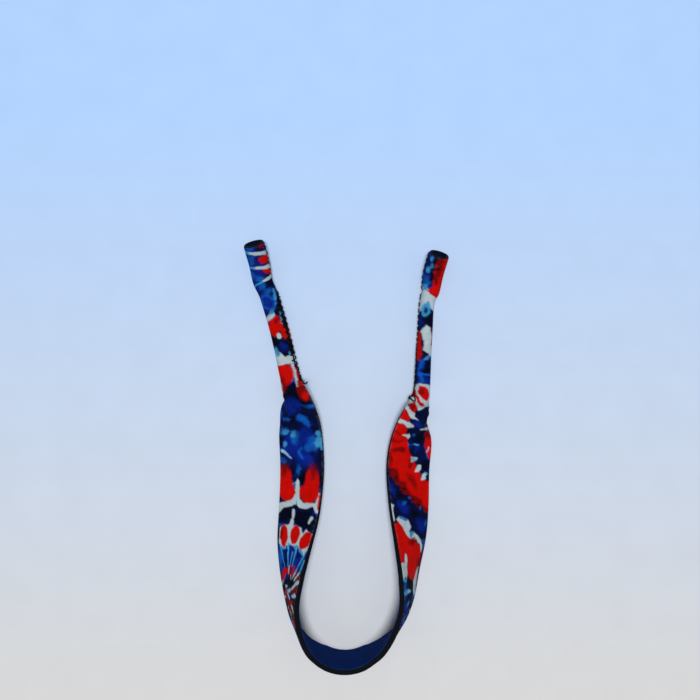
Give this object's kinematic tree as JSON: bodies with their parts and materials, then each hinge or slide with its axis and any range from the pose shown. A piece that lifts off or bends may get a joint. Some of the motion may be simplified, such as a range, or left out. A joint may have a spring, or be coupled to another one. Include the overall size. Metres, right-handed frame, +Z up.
{
  "type": "eyeglass retainer strap",
  "caption": "Soft neoprene eyewear retainer strap: a wide tie-dye neck band whose limbs narrow into stitched sleeves with open mouths that hold the temple arms of glasses.",
  "frame": {"origin": "middle of the strap's length at the back of the neck, on the lower cut edge of the band, on the surface it lies on", "axes": "+Y from the back of the neck towards the sleeve mouths, +Z up from the surface, +X to the right-hand sleeve with the printed faces up"},
  "size_m": [0.0918, 0.1902, 0.02],
  "materials": {
    "printed_jersey": "knitted polyester jersey, tie-dye print in red, white, navy, royal and light blue",
    "foam_core": "closed-cell black neoprene foam with raw cut edges",
    "lining_jersey": "plain navy-blue knitted nylon jersey",
    "seam_thread": "black bulked polyester sewing thread"
  },
  "bodies": {
    "neck_band": {"neck_outer_jersey": "printed_jersey", "neck_foam_core": "foam_core", "neck_lining_jersey": "lining_jersey"},
    "left_limb": {"left_limb_outer_jersey": "printed_jersey", "left_limb_foam_core": "foam_core", "left_limb_lining_jersey": "lining_jersey", "left_thread_tail": "seam_thread"},
    "left_sleeve": {"left_sleeve_outer_jersey": "printed_jersey", "left_sleeve_foam_core": "foam_core", "left_sleeve_lining_jersey": "lining_jersey", "left_seam_needle_thread": "seam_thread", "left_seam_looper_thread": "seam_thread", "left_seam_bartack": "seam_thread"},
    "right_limb": {"right_limb_outer_jersey": "printed_jersey", "right_limb_foam_core": "foam_core", "right_limb_lining_jersey": "lining_jersey", "right_thread_tail": "seam_thread"},
    "right_sleeve": {"right_sleeve_outer_jersey": "printed_jersey", "right_sleeve_foam_core": "foam_core", "right_sleeve_lining_jersey": "lining_jersey", "right_seam_needle_thread": "seam_thread", "right_seam_looper_thread": "seam_thread", "right_seam_bartack": "seam_thread"}
  },
  "joints": [
    {"name": "left_limb_bend", "type": "hinge", "parent": "neck_band", "child": "left_limb", "pos_m": [-0.00864, 0.00199, 0.01], "axis": [0, 0, 1], "range_deg": [-8, 60]},
    {"name": "right_limb_bend", "type": "hinge", "parent": "neck_band", "child": "right_limb", "pos_m": [0.00864, 0.00199, 0.01], "axis": [0, 0, -1], "range_deg": [-8, 60]},
    {"name": "left_sleeve_flex", "type": "hinge", "parent": "left_limb", "child": "left_sleeve", "pos_m": [-0.02524, 0.12315, 0.0082], "axis": [0.9578, 0.2874, 0], "range_deg": [0, 60]},
    {"name": "right_sleeve_flex", "type": "hinge", "parent": "right_limb", "child": "right_sleeve", "pos_m": [0.03471, 0.1163, 0.00806], "axis": [0.99, -0.1414, 0], "range_deg": [0, 60]}
  ]
}
